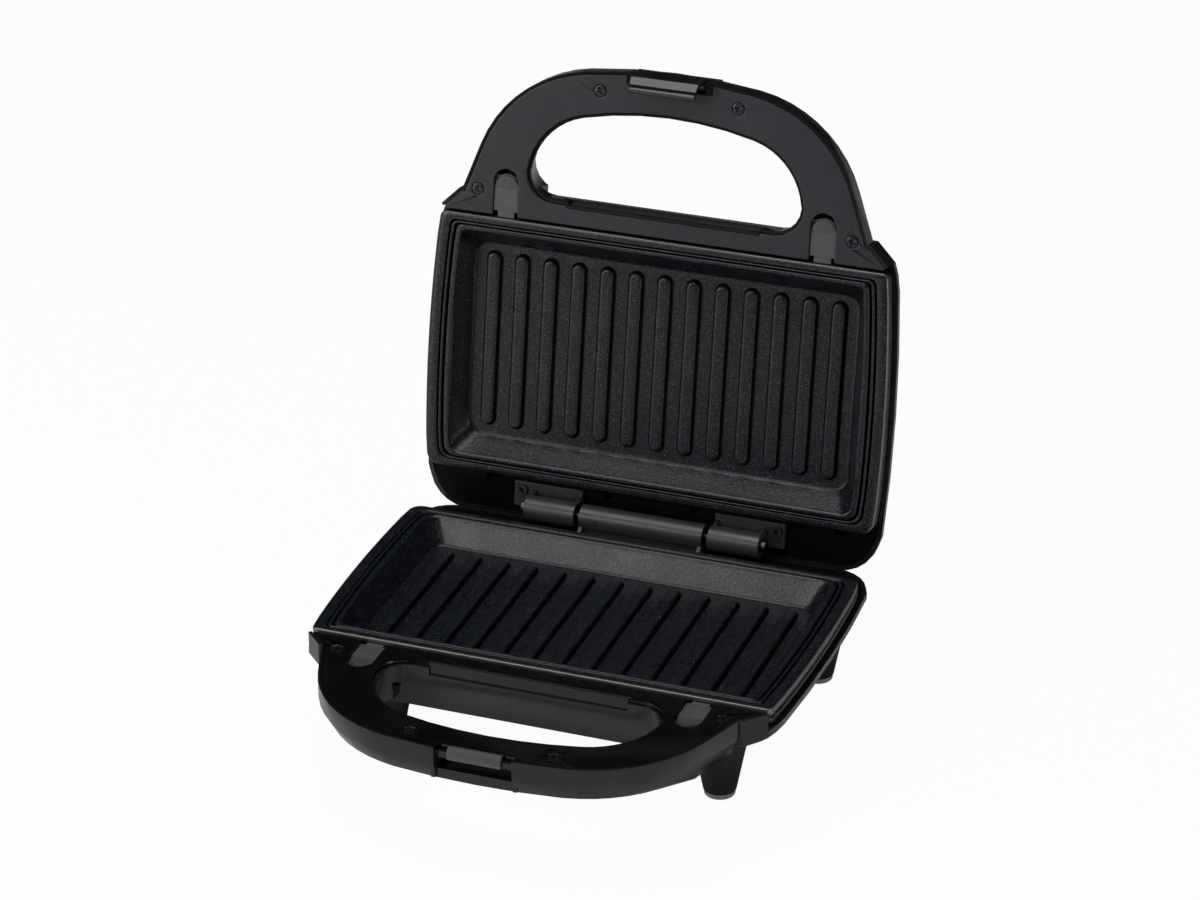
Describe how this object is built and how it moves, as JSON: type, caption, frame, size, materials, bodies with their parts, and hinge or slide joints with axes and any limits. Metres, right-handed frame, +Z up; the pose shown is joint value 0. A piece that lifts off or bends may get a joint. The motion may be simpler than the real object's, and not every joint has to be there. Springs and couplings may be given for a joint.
{
  "type": "sandwich toaster",
  "caption": "Countertop sandwich toaster with ribbed grill plates, a hinged lid standing open, D-shaped carry handles and a pivoting latch.",
  "frame": {"origin": "on the worktop, under the middle between handle front and lid rear", "axes": "+Z up, -Y towards the user and the handle, X along the hinge"},
  "size_m": [0.2406, 0.2832, 0.284],
  "materials": {
    "black_housing": "gloss",
    "base_cover_black": "gloss",
    "lid_cover_charcoal": "satin",
    "frame_black": "matte",
    "non_stick": "speckled non-stick coating",
    "dark_screws": "satin",
    "bright_steel": "satin",
    "reflector_sheet": "bright",
    "element_sheath": "oxidised",
    "ceramic_white": "matte",
    "catch_grey": "satin",
    "hinge_grey": "satin",
    "keeper_dark": "satin",
    "latch_olive": "satin",
    "leg_black": "matte",
    "pad_grey": "matte",
    "lead_red": "matte",
    "lens_red": "clear",
    "lens_green": "clear"
  },
  "bodies": {
    "base": {"base_shell": "black_housing", "base_handle_cover": "base_cover_black", "base_cover_screws": "dark_screws", "base_frame": "frame_black", "base_frame_screws": "dark_screws", "base_reflector": "reflector_sheet", "base_element": "element_sheath", "base_thermostat": "ceramic_white", "base_plate": "non_stick", "base_catch_spring_left": "bright_steel", "base_catch_spring_right": "bright_steel", "latch_keeper": "keeper_dark", "hinge_middle_bracket": "hinge_grey", "hinge_pin": "bright_steel", "base_hinge_screws": "dark_screws", "legs": "leg_black", "foot_pads": "pad_grey", "leg_screws": "bright_steel", "terminal_block": "ceramic_white", "thermal_fuse": "bright_steel", "supply_leads": "lead_red", "cord_gland": "frame_black"},
    "lid": {"lid_shell": "black_housing", "lid_handle_cover": "lid_cover_charcoal", "lid_cover_screws": "dark_screws", "lid_frame": "frame_black", "lid_frame_screws": "dark_screws", "lid_reflector": "reflector_sheet", "lid_element": "element_sheath", "lid_thermostat": "ceramic_white", "lid_plate": "non_stick", "lid_catch_spring_left": "bright_steel", "lid_catch_spring_right": "bright_steel", "lid_hinge_bracket_left": "hinge_grey", "lid_hinge_bracket_right": "hinge_grey", "lid_hinge_screws": "dark_screws", "latch_pin": "bright_steel", "latch_spring": "bright_steel", "power_lens": "lens_red", "ready_lens": "lens_green", "lamp_carrier": "ceramic_white"},
    "latch": {"latch": "latch_olive"},
    "base_catch_l": {"base_catch_left": "catch_grey"},
    "base_catch_r": {"base_catch_right": "catch_grey"},
    "lid_catch_l": {"lid_catch_left": "catch_grey"},
    "lid_catch_r": {"lid_catch_right": "catch_grey"}
  },
  "joints": [
    {"name": "lid_hinge", "type": "hinge", "parent": "base", "child": "lid", "pos_m": [0, 0.0836, 0.0606], "axis": [1, 0, 0], "range_deg": [0, 100.2]},
    {"name": "latch_pivot", "type": "hinge", "parent": "lid", "child": "latch", "pos_m": [0, 0.1257, 0.27991], "axis": [-1, 0, 0], "range_deg": [0, 26], "stiffness_Nm_per_rad": 0.02, "springref_deg": -11.46},
    {"name": "base_catch_slide_left", "type": "slide", "parent": "base", "child": "base_catch_l", "axis": [0, -1, 0], "range_m": [0, 0.0025], "stiffness_N_per_m": 400, "springref_m": -0.002},
    {"name": "base_catch_slide_right", "type": "slide", "parent": "base", "child": "base_catch_r", "axis": [0, -1, 0], "range_m": [0, 0.0025], "stiffness_N_per_m": 400, "springref_m": -0.002},
    {"name": "lid_catch_slide_left", "type": "slide", "parent": "lid", "child": "lid_catch_l", "axis": [0, 0.1771, 0.9842], "range_m": [0, 0.0025], "stiffness_N_per_m": 400, "springref_m": -0.002},
    {"name": "lid_catch_slide_right", "type": "slide", "parent": "lid", "child": "lid_catch_r", "axis": [0, 0.1771, 0.9842], "range_m": [0, 0.0025], "stiffness_N_per_m": 400, "springref_m": -0.002}
  ]
}
